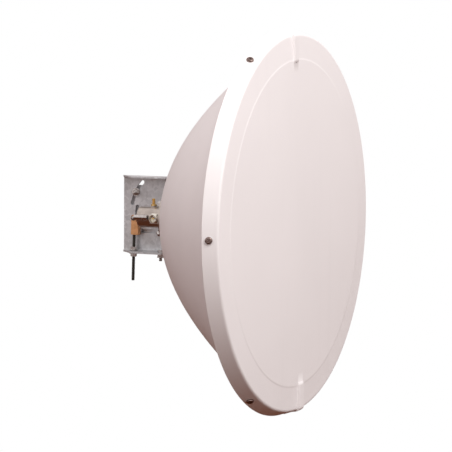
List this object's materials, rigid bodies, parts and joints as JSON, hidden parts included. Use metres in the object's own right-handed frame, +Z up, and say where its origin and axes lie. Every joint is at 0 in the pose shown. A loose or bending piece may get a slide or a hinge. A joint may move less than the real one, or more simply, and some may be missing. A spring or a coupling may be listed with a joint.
{
  "type": "outdoor dish antenna",
  "caption": "Parabolic dish antenna with a flat covered front, rear waveguide feed and a tilting clamp bracket for a round mast.",
  "frame": {"origin": "on the mast's axis at the middle of the clamp", "axes": "+Z up along the mast, the dish looks along -Y, its axis stands to the -X side of the mast"},
  "size_m": [0.6826, 0.3747, 0.6828],
  "materials": {
    "painted_reflector": "satin",
    "radome_plastic": "satin",
    "galvanised_sheet": "satin",
    "bare_aluminium": "satin",
    "stainless_fixing": "polished",
    "dark_threaded_rod": "satin",
    "yellow_zinc": "satin",
    "plated_brass": "polished",
    "brass": "polished",
    "gold_contact": "polished",
    "white_plastic": "satin",
    "grey_plastic": "matte",
    "black_rubber": "matte"
  },
  "bodies": {
    "mast_clamp": {"mast_plate": "galvanised_sheet", "clamp_saddle": "galvanised_sheet", "clamp_jaw": "galvanised_sheet", "clamp_studs": "stainless_fixing", "clamp_washers": "stainless_fixing", "clamp_nuts": "stainless_fixing", "pivot_bolt": "stainless_fixing", "pivot_washers": "stainless_fixing", "pivot_nut": "stainless_fixing", "friction_disc": "grey_plastic", "lock_bolt": "stainless_fixing", "lock_spacer": "stainless_fixing", "lock_washer": "stainless_fixing", "lock_nut": "stainless_fixing", "swivel_pin": "stainless_fixing", "pin_clip": "dark_threaded_rod", "pin_washer": "stainless_fixing"},
    "dish_head": {"reflector": "painted_reflector", "radome": "radome_plastic", "vent_plug": "grey_plastic", "radome_screws": "stainless_fixing", "radome_nuts": "stainless_fixing", "rim_seal": "black_rubber", "feed_housing": "bare_aluminium", "feed_short": "bare_aluminium", "feed_tube": "bare_aluminium", "feed_cone": "white_plastic", "subreflector": "bare_aluminium", "n_connector": "plated_brass", "side_barrel": "stainless_fixing", "connector_screws": "stainless_fixing", "connector_insert": "white_plastic", "connector_pin": "gold_contact", "tuning_screw": "brass", "tuning_nut": "brass", "seat_ring": "bare_aluminium", "dish_seat": "galvanised_sheet", "seat_bolts": "stainless_fixing", "seat_washers": "stainless_fixing", "seat_nuts": "stainless_fixing", "tilt_plate": "galvanised_sheet", "tab_bolts": "stainless_fixing", "tab_nuts": "stainless_fixing", "earth_screw": "brass", "earth_nuts": "stainless_fixing"},
    "adjuster": {"swivel_block": "yellow_zinc", "adjuster_rod": "dark_threaded_rod"},
    "adjuster_nuts": {"adjuster_nuts": "stainless_fixing", "adjuster_washers": "stainless_fixing"}
  },
  "joints": [
    {"name": "tilt", "type": "hinge", "parent": "mast_clamp", "child": "dish_head", "pos_m": [-0.0445, -0.036, 0], "axis": [-1, 0, 0], "range_deg": [-12, 12]},
    {"name": "rod_swing", "type": "hinge", "parent": "mast_clamp", "child": "adjuster", "pos_m": [-0.056, 0.03869, -0.0068], "axis": [-1, 0, 0], "range_deg": [-14.5, 14.5]},
    {"name": "nut_travel", "type": "slide", "parent": "adjuster", "child": "adjuster_nuts", "axis": [0, 0.0262, -0.9997], "range_m": [-0.0165, 0.0165]}
  ],
  "couplings": [
    {"joint": "rod_swing", "follows": "tilt", "ratio": 1.167},
    {"joint": "nut_travel", "follows": "tilt", "m_per_rad": 0.07397}
  ]
}
